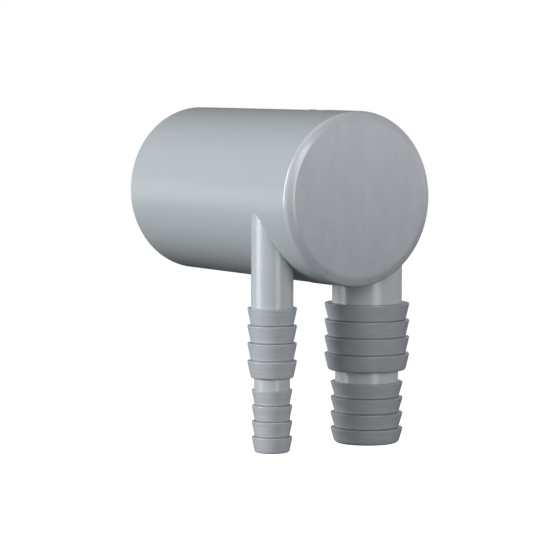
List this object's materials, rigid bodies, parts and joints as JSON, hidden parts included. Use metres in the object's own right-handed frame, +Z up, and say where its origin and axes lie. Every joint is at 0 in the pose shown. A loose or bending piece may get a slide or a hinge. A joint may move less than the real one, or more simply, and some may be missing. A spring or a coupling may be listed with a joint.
{
  "type": "pipe end hose connector",
  "caption": "Closed plain pipe end for a 40 mm waste socket, with a small and a large stepped barbed hose tail hanging from its closed end.",
  "frame": {"origin": "centre of the spigot's open end, on the pipe's axis, where the waste socket holds the part", "axes": "+Y along the pipe's axis and out of its open end, so the closed face looks along -Y; +Z up, so both hose tails hang along -Z, the small one at -X and the large one at +X"},
  "size_m": [0.0424, 0.0699, 0.0785],
  "materials": {
    "body_plastic": "smooth moulded polypropylene, soft gloss, light bluish grey",
    "sleeve_plastic": "satin moulded plastic, mid grey"
  },
  "bodies": {
    "root": {"spigot_pipe": "body_plastic", "end_cap": "body_plastic", "face_disc": "body_plastic", "small_tail_tube": "body_plastic", "small_tail_upper_sleeve": "sleeve_plastic", "small_tail_lower_sleeve": "sleeve_plastic", "large_tail_tube": "body_plastic", "large_tail_upper_sleeve": "sleeve_plastic", "large_tail_lower_sleeve": "sleeve_plastic"}
  },
  "joints": []
}
